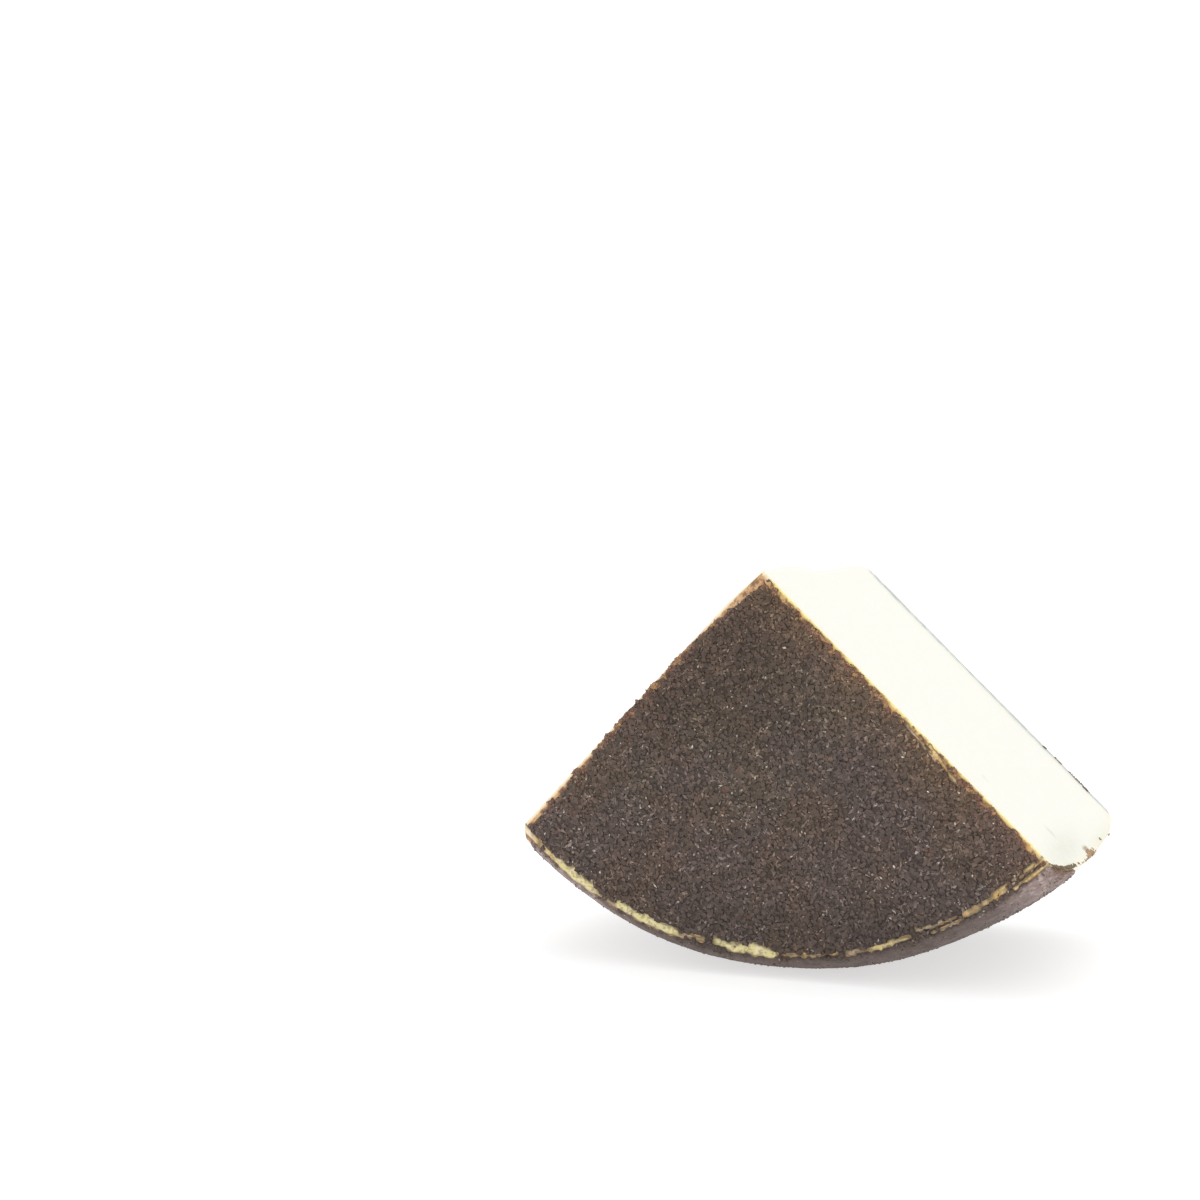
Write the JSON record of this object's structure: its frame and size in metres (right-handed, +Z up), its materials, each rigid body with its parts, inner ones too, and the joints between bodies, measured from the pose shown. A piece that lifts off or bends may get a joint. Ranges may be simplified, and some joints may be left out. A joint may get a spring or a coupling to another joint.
{
  "type": "wedge of pepper-coated pecorino cheese",
  "caption": "Loose quarter wedge of a round sheep's milk cheese, standing on its rind, with black pepper coating and pale cut faces.",
  "frame": {"origin": "middle of the bounding box at its base, on the flat spot of the rind that the wedge rests on", "axes": "+Z up, X across the wedge from corner to corner, Y along the axis of the wheel that it was cut from, with the front coated face at -Y"},
  "size_m": [0.1682, 0.1082, 0.1195],
  "materials": {
    "pepper_crust": "rough, coated with cracked black pepper",
    "paste": "smooth, slightly waxy cut cheese"
  },
  "bodies": {
    "root": {"pecorino_wedge": "pepper_crust"}
  },
  "joints": []
}
